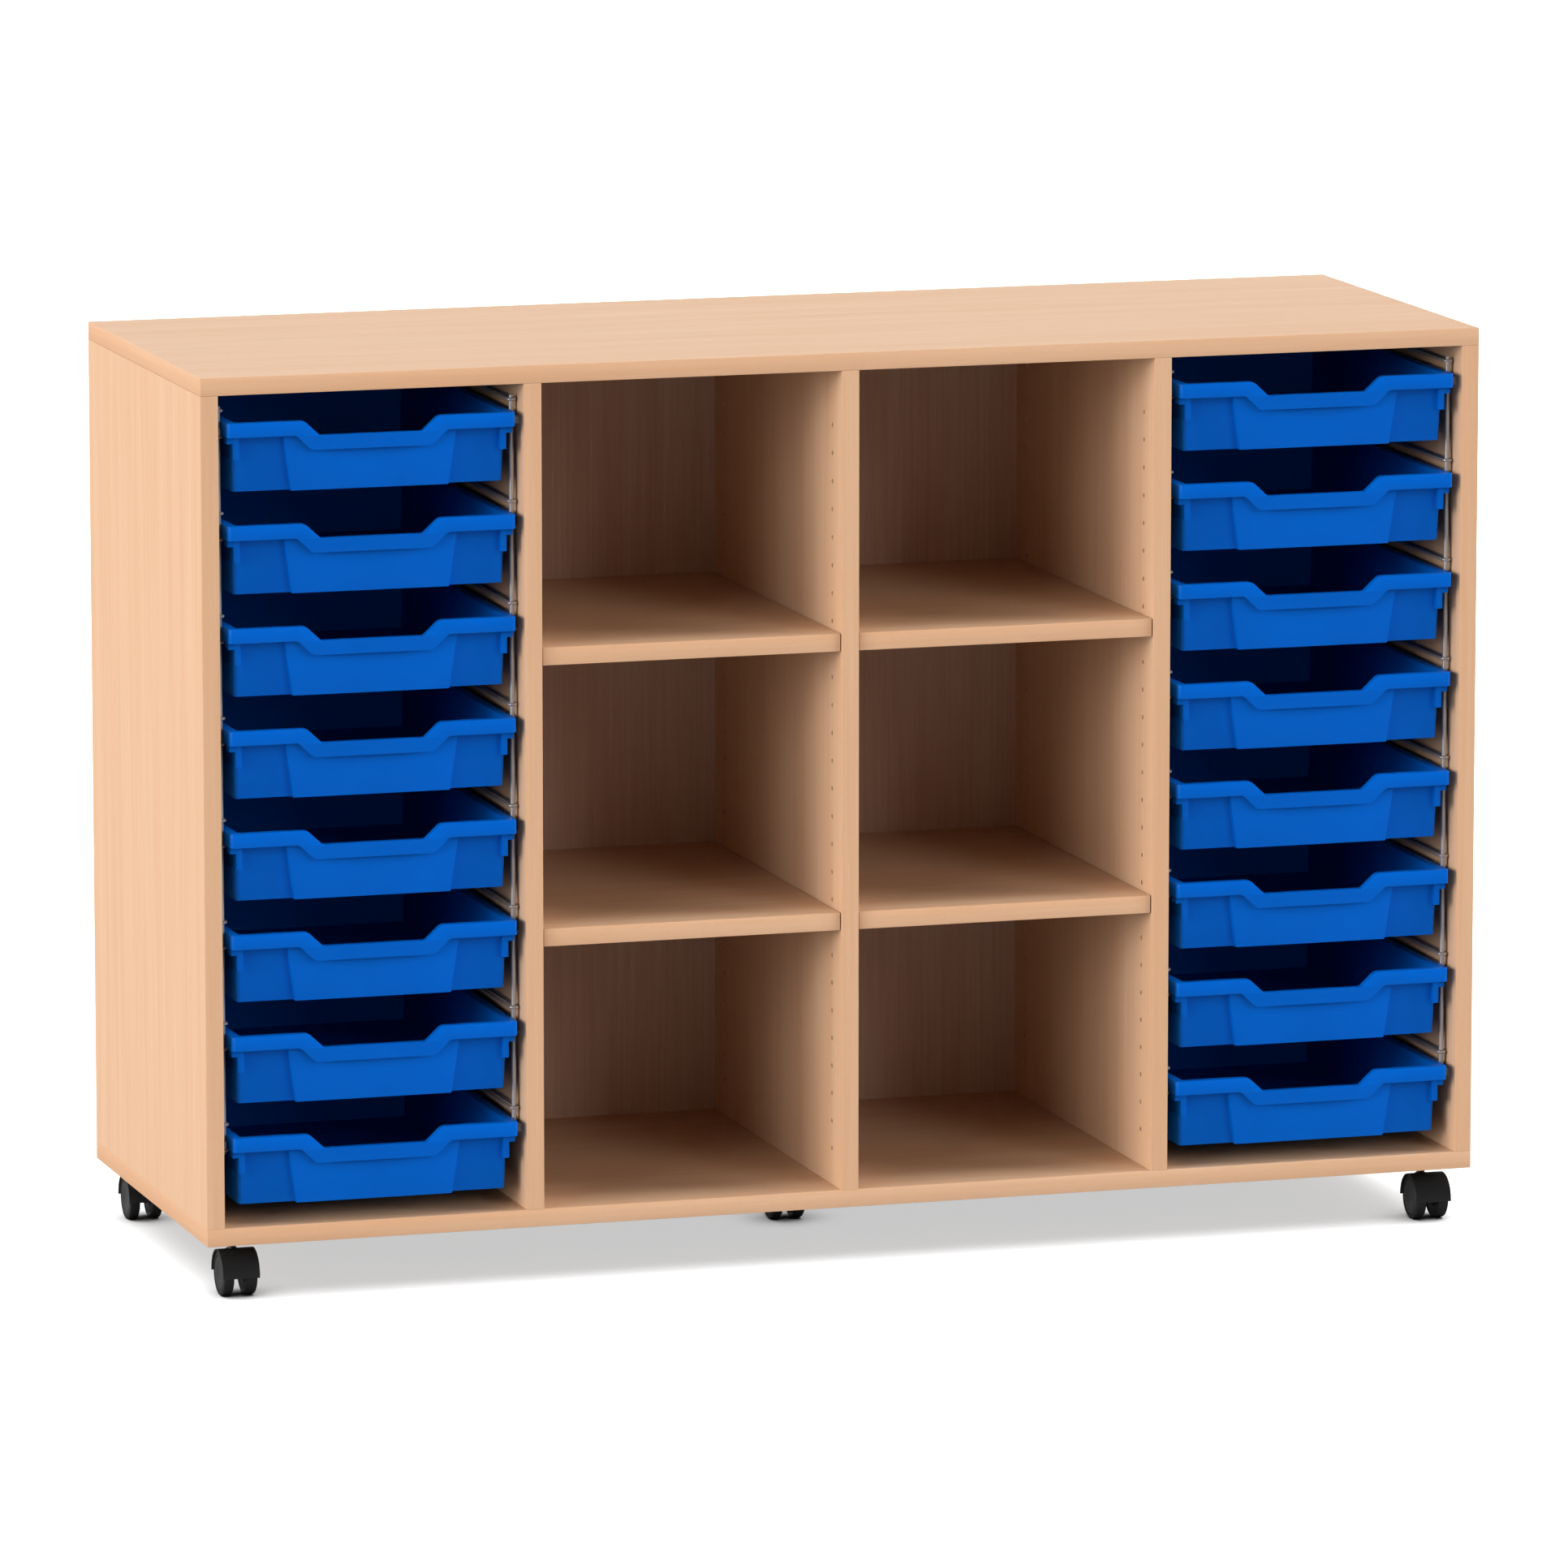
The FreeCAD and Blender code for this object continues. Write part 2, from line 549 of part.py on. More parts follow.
def castor_hood():
    """Hood, web, axle boss and stem housing in one moulding, about the axle on X."""
    hood = body("hood_master")
    pad(hood, circle(hood, "hood_outer", "YZ_Plane", "2 * fits.hood_outer"), "dims.hood_width", centred=True)
    pad(hood, circle(hood, "right_space", "YZ_Plane", "2 * fits.hood_inner", lift="dims.web / 2"),
        "dims.hood_width", backwards=True, pocket=True)
    pad(hood, circle(hood, "left_space", "YZ_Plane", "2 * fits.hood_inner", lift="-dims.web / 2"),
        "dims.hood_width", pocket=True)
    wide = f"(fits.hood_outer + {PAST})"
    below = outline(hood, "hood_open", "YZ_Plane", [
        (f"-{wide}", "-dims.hood_lip"), ("0", "-dims.hood_lip"), ("0", "-dims.hood_lip / 2"),
        (wide, "-dims.hood_lip / 2"), (wide, f"-{wide}"), (f"-{wide}", f"-{wide}"),
    ])
    pad(hood, below, f"dims.hood_width + {PAST}", centred=True, pocket=True)
    pad(hood, circle(hood, "hood_boss", "YZ_Plane", "dims.boss"),
        "dims.wheel_gap - 2 * dims.end_clearance", centred=True)
    housing_top = "dims.castor_height - dims.housing_gap - fits.axle_z"
    housing_foot = "-dims.stem_below_axle - 2 * dims.end_clearance - dims.housing_floor"
    pad(hood, circle(hood, "hood_housing", "XY_Plane", "dims.housing", "0", "dims.trail", housing_foot),
        f"{housing_top} - ({housing_foot})")
    pad(hood, circle(hood, "hood_axle_bore", "YZ_Plane", "dims.axle"),
        f"dims.hood_width + {PAST}", centred=True, pocket=True)
    stem_bore = circle(hood, "hood_stem_bore", "XY_Plane", "dims.stem + 2 * dims.running_clearance",
                       "0", "dims.trail", "-dims.stem_below_axle - dims.end_clearance")
    pad(hood, stem_bore, "fits.hood_outer * 2", backwards=True, pocket=True)
    return hood


def castors():
    """Stems and sockets in the bottom board; hood, axle and two wheels on each stem."""
    stem_length = "fits.floor_board + dims.stem_in_board - fits.stem_foot"
    stem = cylinder("stem_master", "Z", "dims.stem", stem_length, z="fits.stem_foot")
    sleeve = cylinder("socket_sleeve", "Z", "dims.socket", "dims.socket_length", z="fits.floor_board")
    flange = cylinder("socket_flange", "Z", "dims.socket_flange", "dims.flange_thick",
                      z="fits.floor_board - dims.flange_thick")
    stem_space = cylinder("stem_space", "Z", "dims.stem", "dims.flange_thick + dims.stem_in_board",
                          z="fits.floor_board - dims.flange_thick")
    socket = cut("socket_master", join("socket_solid", [sleeve, flange]), stem_space)
    wheel = castor_wheel()
    mirrored = doc.addObject("Part::Mirroring", "wheel_mirrored")
    mirrored.Source = wheel
    mirrored.Normal = AXIS_DIRECTION["X"]
    hood = castor_hood()
    axle = cylinder("axle_master", "X", "dims.axle", "fits.axle_length", "-fits.axle_length / 2")
    stems = []
    sockets = []
    sleeves = []
    for name, x, y in CASTORS:
        stems.append(copy_of(f"{name}_stem", stem, x, y))
        sockets.append(copy_of(f"{name}_socket", socket, x, y))
        sleeves.append(copy_of(f"{name}_sleeve", sleeve, x, y))
        axle_y = f"{y} - dims.trail"
        node(copy_of(f"{name}_hood", hood, x, axle_y, "fits.axle_z"), f"{name}_castor_hood")
        node(copy_of(f"{name}_axle", axle, x, axle_y, "fits.axle_z"), f"{name}_castor_axle")
        node(copy_of(f"{name}_wheel_left", mirrored, x, axle_y, "fits.axle_z"), f"{name}_castor_left_wheel")
        node(copy_of(f"{name}_wheel_right", wheel, x, axle_y, "fits.axle_z"), f"{name}_castor_right_wheel")
    node(group("stems", stems), "castor_stems")
    node(group("sockets", sockets), "castor_sockets")
    return group("socket_holes", sleeves)


# ---------------------------------------------------------------- carcase boards

BOARD_DEPTH = "fits.depth - 2 * dims.lipping"


def carcase(dowels, bolts, discs, pins, clips, socket_holes):
    """Top, bottom, two sides, three partitions and the back, cut where fasteners enter."""
    back = box("back_board", "fits.left + dims.board - dims.groove_depth", "fits.back_face",
               "fits.floor - dims.groove_depth", "fits.width - 2 * dims.board + 2 * dims.groove_depth",
               "dims.back_thick", "dims.clear_height + 2 * dims.groove_depth")
    node(back, "back_panel")
    fasteners = [dowels, bolts, discs, clips]
    long_board = "fits.width - 2 * dims.lipping"
    top = box("top_board", "fits.left + dims.lipping", "fits.board_front", "fits.ceiling",
              long_board, BOARD_DEPTH, "dims.board")
    node(cut("top_drilled", top, group("top_tools", fasteners + [back])), "top_panel")
    bottom = box("bottom_board", "fits.left + dims.lipping", "fits.board_front", "fits.floor_board",
                 long_board, BOARD_DEPTH, "dims.board")
    node(cut("bottom_drilled", bottom, group("bottom_tools", fasteners + [back, socket_holes])),
         "bottom_panel")
    for name, x, cam_face in UPRIGHTS:
        is_side = name.endswith("side_panel")
        board_depth = BOARD_DEPTH if is_side else "fits.back_front - dims.lipping"
        board = box(f"{name}_board", x, "fits.board_front", "fits.floor",
                    "dims.board", board_depth, "dims.clear_height")
        tools = fasteners + [back]
        if not is_side:
            tools.append(pins)
        if name in ("left_partition", "middle_partition"):
            tools.append(pin_holes(f"{name}_right_holes", f"{x} + dims.board", "right"))
        if name in ("middle_partition", "right_partition"):
            tools.append(pin_holes(f"{name}_left_holes", x, "left"))
        node(cut(f"{name}_drilled", board, group(f"{name}_tools", tools)), name)


def edge_bands():
    """Two-millimetre lippings on the boards' exposed edges."""
    bands = []
    for name, z in (("top", "fits.ceiling"), ("bottom", "fits.floor_board")):
        bands.append(box(f"{name}_front_band", "fits.left", "fits.front", z,
                         "fits.width", "dims.lipping", "dims.board"))
        bands.append(box(f"{name}_back_band", "fits.left", "fits.back - dims.lipping", z,
                         "fits.width", "dims.lipping", "dims.board"))
        for end, x in (("left", "fits.left"), ("right", "fits.right - dims.lipping")):
            bands.append(box(f"{name}_{end}_band", x, "fits.board_front", z,
                             "dims.lipping", BOARD_DEPTH, "dims.board"))
    for name, x, cam_face in UPRIGHTS:
        bands.append(box(f"{name}_front_band", x, "fits.front", "fits.floor",
                         "dims.board", "dims.lipping", "dims.clear_height"))
        if name.endswith("side_panel"):
            bands.append(box(f"{name}_back_band", x, "fits.back - dims.lipping", "fits.floor",
                             "dims.board", "dims.lipping", "dims.clear_height"))
    for bay, left_face, right_face in SHELF_BAYS:
        for level in SHELF_LEVELS:
            bands.append(box(f"{bay}_{level}_band", f"{left_face} + dims.shelf_end_gap",
                             "fits.shelf_front", f"fits.{level}_shelf_z",
                             "fits.shelf_width", "dims.lipping", "dims.board"))
    node(group("bands", bands), "edge_bands")


# ---------------------------------------------------------------- trays
# A tray is drawn about the middle of its rim's front edge: X across, Y back, Z up from the rim's top.

MOUTH = "5"           # how far the cutting shapes stand above the rim
LEDGE_EASE = "1.5"    # share of the wall by which the sloping front's inner edge is set back at the rim
CORNER_EASE = "0.45"  # share of the wall by which a sloping wall's inner corner is higher


def plan(owner, name, half_width, front, back, height):
    """A rectangle in plan, for one height of a loft."""
    return outline(owner, name, "XY_Plane", [
        (f"-({half_width})", front), (half_width, front),
        (half_width, back), (f"-({half_width})", back),
    ], height)


def tray_rim():
    """The flat rim with its skirt, before the body and the dip."""
    rim = body("tray_rim")
    half = "dims.tray_width / 2"
    pad(rim, plan(rim, "rim_plan", half, "0", "dims.tray_depth", "0"), "dims.rim_skirt", backwards=True)
    round_edges(rim, "rim_corners", "dims.rim_corner", upright)
    inside = plan(rim, "rim_inside", f"{half} - dims.tray_wall", "dims.tray_wall",
                  "dims.tray_depth - dims.tray_wall", "-dims.rim_skirt")
    pad(rim, inside, "dims.rim_skirt - dims.tray_wall", backwards=True, pocket=True)
    return rim


def tray_block(name, wall, foot):
    """The body's outside where wall is 0, or its inside where wall is the tray's wall."""
    block = body(name)
    half = f"dims.tray_width / 2 - dims.rim_overhang - {wall}"
    back = f"dims.tray_depth - dims.rim_overhang - {wall}"
    lofted = [
        plan(block, f"{name}_rim", half, f"dims.rim_ledge + {LEDGE_EASE} * {wall}", back, "0"),
        plan(block, f"{name}_knee", half, f"dims.recess_depth + {wall}", back,
             f"-dims.recess_knee + {CORNER_EASE} * {wall}"),
        plan(block, f"{name}_foot", f"{half} - dims.side_draft",
             f"dims.recess_depth + dims.front_draft + {wall}", f"{back} - dims.side_draft", foot),
    ]
    loft(block, lofted, f"{name}_loft")
    round_edges(block, f"{name}_corners", f"dims.body_corner - {wall}", upright)
    return block


def tray_panel(name, wall, foot):
    """The raised middle of the front, outside or inside, wider at the rim than at the foot."""
    panel = body(name)
    deep = "dims.recess_depth + dims.body_corner + dims.front_draft + 2 * dims.tray_wall"
    slope = "(dims.panel_top_width - dims.panel_foot_width) / 2 / dims.tray_height"

    def half(drop):
        return f"dims.panel_top_width / 2 - ({drop}) * {slope} - {wall}"

    lip_drop = f"dims.grip_dip + dims.tray_wall - {CORNER_EASE} * {wall}"
    knee_drop = f"dims.grip_dip + dims.rim_skirt - {CORNER_EASE} * {wall}"
    sections = [
        plan(panel, f"{name}_rim", half("0"), f"dims.rim_ledge + {wall}", deep, "0"),
        plan(panel, f"{name}_lip", half(lip_drop), f"dims.rim_ledge + {wall}", deep, f"-({lip_drop})"),
        plan(panel, f"{name}_knee", half(knee_drop), f"dims.panel_depth + {wall}", deep, f"-({knee_drop})"),
        plan(panel, f"{name}_foot", half(f"-({foot})"),
             f"dims.panel_depth + dims.front_draft / 2 + {wall}", deep, foot),
    ]
    loft(panel, sections, f"{name}_loft")
    return panel


def dip(name, level, lead, knee, foot_radius, front, length):
    """Everything above the line of the finger dip, which lies at a level below the rim."""
    prism = body(name)
    floor_half = f"dims.grip_floor / 2 + {lead}"
    shoulder = f"{floor_half} + dims.grip_run"
    side = "dims.panel_top_width / 2"
    low = f"-({level}) - dims.grip_dip"
    drawn = outline(prism, f"{name}_line", "XZ_Plane", [
        (f"-{side}", MOUTH), (f"-{side}", f"-({level})"), (f"-({shoulder})", f"-({level})"),
        (f"-({floor_half})", low), (floor_half, low),
        (shoulder, f"-({level})"), (side, f"-({level})"), (side, MOUTH),
    ], f"-({front})")
    pad(prism, drawn, length, backwards=True)
    knee_z = -size(level)
    foot_z = size(low)
    side_x = size(side)

    def at(height):
        def test(edge):
            ends = [vertex.Point for vertex in edge.Vertexes]
            return (abs(ends[0].x - ends[-1].x) < SAME and abs(ends[0].z - height) < SAME
                    and abs(ends[-1].z - height) < SAME and abs(ends[0].x) < side_x - SAME)
        return test

    round_edges(prism, f"{name}_knees", knee, at(knee_z))
    round_edges(prism, f"{name}_feet", foot_radius, at(foot_z))
    return prism


def gussets():
    """Ribs behind the skirt's ends, each with a stop that meets the runner's front bend."""
    ribs = []
    outer = "dims.tray_width / 2 - dims.rim_overhang"
    front = "dims.panel_depth"
    back = "dims.recess_depth + dims.body_corner + 2 * dims.tray_wall"
    stop_depth = ("dims.rim_projection + dims.post_setback - dims.stop_clearance - dims.panel_depth"
                  " - sqrt(pow(fits.loop_radius + dims.wire / 2; 2)"
                  " - pow(fits.loop_radius + dims.wire / 2 + dims.rim_overhang + dims.rim_post_clearance"
                  " - dims.stop_reach - dims.post - dims.wire; 2))")
    for side, rib_x, stop_x in (
        ("left", f"-({outer})", f"-({outer}) - dims.stop_reach"),
        ("right", f"{outer} - dims.gusset_width", outer),
    ):
        ribs.append(box(f"{side}_gusset", rib_x, front, "-dims.gusset_drop", "dims.gusset_width",
                        f"{back} - {front}", "dims.gusset_drop - dims.tray_wall"))
        ribs.append(box(f"{side}_stop", stop_x, front,
                        "-dims.rim_skirt - dims.rest_clearance - dims.stop_drop - dims.stop_height",
                        "dims.stop_reach", stop_depth, "dims.stop_height"))
    return ribs


def tray():
    """One tray: rim and body fused, the dip and the hollow cut out of them."""
    foot = "-dims.tray_height"
    outside = tray_block("tray_outside", "0", foot)
    front_panel = tray_panel("tray_front", "0", foot)
    inside = tray_block("tray_inside", "dims.tray_wall", f"{foot} + dims.tray_wall")
    front_hollow = tray_panel("tray_front_hollow", "dims.tray_wall", f"{foot} + dims.tray_wall")
    lip = dip("tray_lip", "dims.tray_wall", "0", "dims.grip_knee - dims.tray_wall",
              "dims.grip_foot + dims.tray_wall", "0", "dims.rim_ledge + dims.tray_wall")
    skirt = dip("tray_skirt", "dims.rim_skirt", "dims.grip_lead", "dims.grip_knee - dims.tray_wall",
                "dims.grip_foot + dims.tray_wall", "0", "dims.tray_wall")
    notch = dip("tray_notch", "0", "0", "dims.grip_knee", "dims.grip_foot", "-1",
                "dims.recess_depth + dims.body_corner")
    mouth = box("tray_mouth", "-dims.tray_width / 2", "-1", "0", "dims.tray_width", "dims.tray_depth", MOUTH)
    solid = join("tray_solid", [tray_rim(), outside, front_panel, lip, skirt] + gussets())
    hollow = join("tray_hollow", [inside, front_hollow, notch, mouth])
    return cut("tray_master", solid, hollow)


def trays():
    master = tray()
    for column, middle in (
        ("left", "fits.left + dims.board + fits.tray_bay_width / 2"),
        ("right", "fits.right - dims.board - fits.tray_bay_width / 2"),
    ):
        for level in range(TRAYS_IN_COLUMN):
            item = copy_of(f"{column}_tray_{level + 1}", master, middle,
                           "fits.front - dims.rim_projection", rim_height(level))
            node(item, f"{column}_tray_{level + 1}")


# ---------------------------------------------------------------- the whole unit

def main():
    dowels, bolts, discs = carcase_fasteners()
    pins = shelf_pins()
    runner_frames()
    clips = runner_clips()
    socket_holes = castors()
    carcase(dowels, bolts, discs, pins, clips, socket_holes)
    shelves()
    edge_bands()
    trays()
    doc.recompute()
    for item in doc.Objects:
        if "Invalid" in item.State or "Error" in item.State:
            raise RuntimeError(f"{item.Name} failed: {item.State}")
    os.makedirs("parts", exist_ok=True)
    for item in nodes:
        shape = item.Shape
        if shape.isNull() or not shape.isValid() or not shape.Solids:
            raise RuntimeError(f"{item.Label} has no valid shape")
        shape.exportStep(f"parts/{item.Label}.step")
    print(len(nodes), "sub-parts,", sum(len(item.Shape.Solids) for item in nodes), "solids")


main()
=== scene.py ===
"""Dresses the mobile tray storage unit: beech-effect boards, blue trays, bright wire runners and black
castors, on a white floor.  Metres throughout, in the frame's own axes: X along the front, Y back, Z up."""
import math

import bmesh
import bpy
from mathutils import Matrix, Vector


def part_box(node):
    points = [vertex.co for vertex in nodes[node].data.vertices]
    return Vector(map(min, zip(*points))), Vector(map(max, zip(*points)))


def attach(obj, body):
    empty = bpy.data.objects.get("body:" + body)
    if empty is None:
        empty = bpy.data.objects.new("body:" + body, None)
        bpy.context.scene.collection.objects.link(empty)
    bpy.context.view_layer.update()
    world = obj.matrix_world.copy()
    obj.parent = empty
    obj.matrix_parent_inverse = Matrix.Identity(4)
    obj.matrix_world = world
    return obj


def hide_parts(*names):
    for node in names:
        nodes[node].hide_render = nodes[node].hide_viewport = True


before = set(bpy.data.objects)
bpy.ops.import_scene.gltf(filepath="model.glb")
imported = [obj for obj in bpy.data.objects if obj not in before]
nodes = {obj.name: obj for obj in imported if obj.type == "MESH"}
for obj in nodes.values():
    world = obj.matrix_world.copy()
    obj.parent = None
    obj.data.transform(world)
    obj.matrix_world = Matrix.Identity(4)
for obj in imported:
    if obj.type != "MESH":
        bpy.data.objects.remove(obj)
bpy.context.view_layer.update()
MM = 0.001
SIDES = ("left", "right")
TRAYS_IN_COLUMN = 8
CASTORS = ("front_left", "front_right", "rear_left", "rear_right", "middle")
BAYS = ("left_lower", "left_upper", "right_lower", "right_upper")
RUNNERS = ("left_outer", "left_inner", "right_inner", "right_outer")
UPRIGHTS = ("left_side_panel", "left_partition", "middle_partition", "right_partition", "right_side_panel")
LIPPING = 2 * MM
LIPPING_EASE = 0.7 * MM
TRAY_EASE = 0.45 * MM
HOOD_EASE = 0.3 * MM


# ---------------------------------------------------------------- colours and materials

RANGE_SOCKETS = ("From Min", "From Max", "To Min", "To Max")


def colour(red, green, blue):
    """An 8-bit display colour as a linear one."""
    def linear(value):
        value /= 255
        return value / 12.92 if value <= 0.04045 else ((value + 0.055) / 1.055) ** 2.4
    return (linear(red), linear(green), linear(blue), 1)


class Finish:
    """A material under construction: its tree, its surface shader and the object's coordinates."""

    def __init__(self, name):
        self.material = bpy.data.materials.new(name)
        self.material.use_nodes = True
        self.tree = self.material.node_tree
        self.surface = self.tree.nodes["Principled BSDF"]
        self.place = self.add("ShaderNodeTexCoord").outputs["Object"]

    def add(self, kind, **settings):
        node = self.tree.nodes.new(kind)
        for name, value in settings.items():
            setattr(node, name, value)
        return node

    def link(self, output, socket):
        self.tree.links.new(output, socket)

    def stretched(self, scale, offset=(0, 0, 0)):
        """The coordinates scaled apart on each axis, in cycles to a metre."""
        mapping = self.add("ShaderNodeMapping")
        mapping.inputs["Scale"].default_value = scale
        mapping.inputs["Location"].default_value = offset
        self.link(self.place, mapping.inputs["Vector"])
        return mapping.outputs["Vector"]

    def noise(self, scale, detail=2.0, roughness=0.5, offset=(0, 0, 0)):
        """Noise between 0 and 1, with its own number of cycles to a metre on each axis."""
        texture = self.add("ShaderNodeTexNoise")
        texture.inputs["Scale"].default_value = 1
        texture.inputs["Detail"].default_value = detail
        texture.inputs["Roughness"].default_value = roughness
        self.link(self.stretched(scale, offset), texture.inputs["Vector"])
        return texture.outputs["Fac"]

    def between(self, value, low, high, to_low=0.0, to_high=1.0):
        """The value's stretch from low to high, spread over a new range and held at its ends."""
        spread = self.add("ShaderNodeMapRange")
        for socket, number in zip(RANGE_SOCKETS, (low, high, to_low, to_high)):
            spread.inputs[socket].default_value = number
        self.link(value, spread.inputs["Value"])
        return spread.outputs["Result"]

    def mix(self, factor, first, second, blend="MIX"):
        """Two colours, given as colours or as sockets, mixed by a factor."""
        mixer = self.add("ShaderNodeMix", data_type="RGBA", blend_type=blend)
        sockets = (mixer.inputs[0], mixer.inputs[6], mixer.inputs[7])
        for socket, value in zip(sockets, (factor, first, second)):
            if isinstance(value, bpy.types.NodeSocket):
                self.link(value, socket)
            else:
                socket.default_value = value
        return mixer.outputs[2]

    def bump(self, height, depth, strength=1.0):
        bump = self.add("ShaderNodeBump")
        bump.inputs["Strength"].default_value = strength
        bump.inputs["Distance"].default_value = depth
        self.link(height, bump.inputs["Height"])
        self.link(bump.outputs["Normal"], self.surface.inputs["Normal"])


def along(axis, length_rate, cross_rate):
    """Rates for a pattern that runs along one axis, in cycles to a metre."""
    return tuple(length_rate if letter == axis else cross_rate for letter in "XYZ")


FLECK_DEPTH = 0.18      # how far a fleck turns the wood to its deep colour


def beech(name, grain, tone=(1, 1, 1), figure=0.35):
    """Beech-effect laminate with its grain along one axis: broad streaks, fine lines and short flecks.
    The tone tints it, and the figure says how far the fine lines turn it to its deep colour."""
    finish = Finish(name)
    pale = colour(249, 211, 177)
    mid = colour(243, 198, 160)
    deep = colour(224, 172, 132)
    streak_noise = finish.noise(along(grain, length_rate=1.3, cross_rate=34), detail=4, roughness=0.6)
    line_noise = finish.noise(along(grain, length_rate=5, cross_rate=260), detail=3, roughness=0.6,
                              offset=(3.1, 1.7, 5.3))
    fleck_noise = finish.noise(along(grain, length_rate=150, cross_rate=900), detail=1,
                               offset=(7.7, 2.9, 0.4))
    streaks = finish.between(streak_noise, low=0.3, high=0.7)
    lines = finish.between(line_noise, low=0.3, high=0.72)
    flecks = finish.between(fleck_noise, low=0.60, high=0.72)
    wood = finish.mix(streaks, pale, mid)
    wood = finish.mix(finish.between(lines, 0, 1, to_high=figure), wood, deep)
    wood = finish.mix(finish.between(flecks, 0, 1, to_high=FLECK_DEPTH), wood, deep)
    if tone != (1, 1, 1):
        wood = finish.mix(1.0, wood, (*tone, 1), "MULTIPLY")
    finish.link(wood, finish.surface.inputs["Base Color"])
    finish.link(finish.between(lines, 0, 1, to_low=0.46, to_high=0.54), finish.surface.inputs["Roughness"])
    finish.surface.inputs["Specular IOR Level"].default_value = 0.35
    finish.bump(lines, 0.02 * MM, strength=0.5)
    return finish.material


def moulded(name, base, low_rough, high_rough, mottle=0.06, grain_rate=1500, depth=0.02, shine=0.4):
    """Moulded plastic: an even colour, faintly mottled, with a fine grain from the mould."""
    finish = Finish(name)
    shade = tuple(channel * (1 - mottle) for channel in base[:3])
    patches = finish.between(finish.noise((14, 14, 14), detail=3), low=0.35, high=0.65)
    finish.link(finish.mix(patches, base, (*shade, 1)), finish.surface.inputs["Base Color"])
    finish.link(finish.between(patches, 0, 1, to_low=low_rough, to_high=high_rough),
                finish.surface.inputs["Roughness"])
    finish.surface.inputs["Specular IOR Level"].default_value = shine
    finish.bump(finish.noise((grain_rate, grain_rate, grain_rate), detail=1), depth * MM, strength=0.35)
    return finish.material


WORN_SHARE = 0.86       # of a metal's brightness, along its drawing lines


def metal(name, base, low_rough, high_rough, scratch_axis="Z", metallic=1.0):
    """Plated or turned metal with fine drawing lines along one axis."""
    finish = Finish(name)
    finish.surface.inputs["Metallic"].default_value = metallic
    lines = finish.noise(along(scratch_axis, length_rate=30, cross_rate=1800), detail=2)
    worn = tuple(channel * WORN_SHARE for channel in base[:3])
    finish.link(finish.mix(lines, base, (*worn, 1)), finish.surface.inputs["Base Color"])
    finish.link(finish.between(lines, 0.3, 0.7, to_low=low_rough, to_high=high_rough),
                finish.surface.inputs["Roughness"])
    return finish.material


LONG_BEECH = beech("beech_along_front", "X", figure=0.28)
TALL_BEECH = beech("beech_upright", "Z", figure=0.28)
BACK_BEECH = beech("beech_back", "Z", tone=(0.9, 0.96, 1.15), figure=0.5)
EDGE_TONE = (0.95, 0.88, 0.82)
EDGE_FIGURE = 0.2
LONG_EDGE = beech("edge_along_front", "X", EDGE_TONE, EDGE_FIGURE)
TALL_EDGE = beech("edge_upright", "Z", EDGE_TONE, EDGE_FIGURE)
DEEP_EDGE = beech("edge_front_to_back", "Y", EDGE_TONE, EDGE_FIGURE)
TRAY_BLUE = moulded("tray_blue", colour(1, 104, 214), 0.34, 0.40, shine=0.08)
WIRE_CHROME = metal("runner_wire", (0.62, 0.62, 0.63, 1), 0.30, 0.36, metallic=0.6)
PIN_NICKEL = metal("pin_nickel", (0.62, 0.60, 0.56, 1), 0.25, 0.35, "X")
STEM_STEEL = metal("stem_steel", (0.16, 0.16, 0.17, 1), 0.32, 0.42)
BOLT_ZINC = metal("bolt_zinc", (0.55, 0.55, 0.57, 1), 0.35, 0.5)
CLIP_PLASTIC = moulded("clip_plastic", colour(196, 196, 190), 0.3, 0.4)
CAM_COVER = moulded("cam_cover", colour(236, 196, 156), 0.45, 0.5)
CASTOR_BLACK = moulded("castor_black", colour(34, 34, 35), 0.36, 0.46, mottle=0.12)
WHEEL_BLACK = moulded("wheel_black", colour(30, 30, 31), 0.42, 0.55, mottle=0.15)
DISC_GREY = moulded("disc_grey", colour(46, 47, 50), 0.38, 0.48, mottle=0.08)
DOWEL_WOOD = beech("dowel_wood", "Z", tone=(0.9, 0.88, 0.84))


def dress(node, material):
    """Gives a CAD node its finish."""
    piece = nodes[node]
    piece.data.materials.clear()
    piece.data.materials.append(material)
    return piece


# ---------------------------------------------------------------- making pieces

SMOOTH_BELOW = 32       # degrees


def new_piece(name, shape, material, body, slot, *replaced):
    """A finished bmesh as an object that rides on a body and stands for some nodes."""
    mesh = bpy.data.meshes.new(name)
    shape.to_mesh(mesh)
    shape.free()
    piece = bpy.data.objects.new(name, mesh)
    bpy.context.scene.collection.objects.link(piece)
    for finish in material if isinstance(material, (list, tuple)) else [material]:
        mesh.materials.append(finish)
    smooth_within(mesh, SMOOTH_BELOW)
    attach(piece, body)
    if replaced:
        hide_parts(*replaced)
    return piece


def smooth_within(mesh, degrees):
    """Smooth shading, broken at edges that turn by more than this."""
    for face in mesh.polygons:
        face.use_smooth = True
    mesh.set_sharp_from_angle(angle=math.radians(degrees))


def merged_copy(node):
    """A node's mesh as a bmesh, with its loose triangles joined and its flat faces made whole."""
    shape = bmesh.new()
    shape.from_mesh(nodes[node].data)
    same_place = 0.001 * MM
    same_plane = math.radians(0.5)
    bmesh.ops.remove_doubles(shape, verts=shape.verts, dist=same_place)
    bmesh.ops.dissolve_limit(shape, angle_limit=same_plane, verts=shape.verts, edges=shape.edges)
    return shape


def sharp_edges(shape, degrees):
    """The edges where two faces meet at more than an angle."""
    limit = math.radians(degrees)
    return [edge for edge in shape.edges if len(edge.link_faces) == 2 and edge.calc_face_angle() > limit]


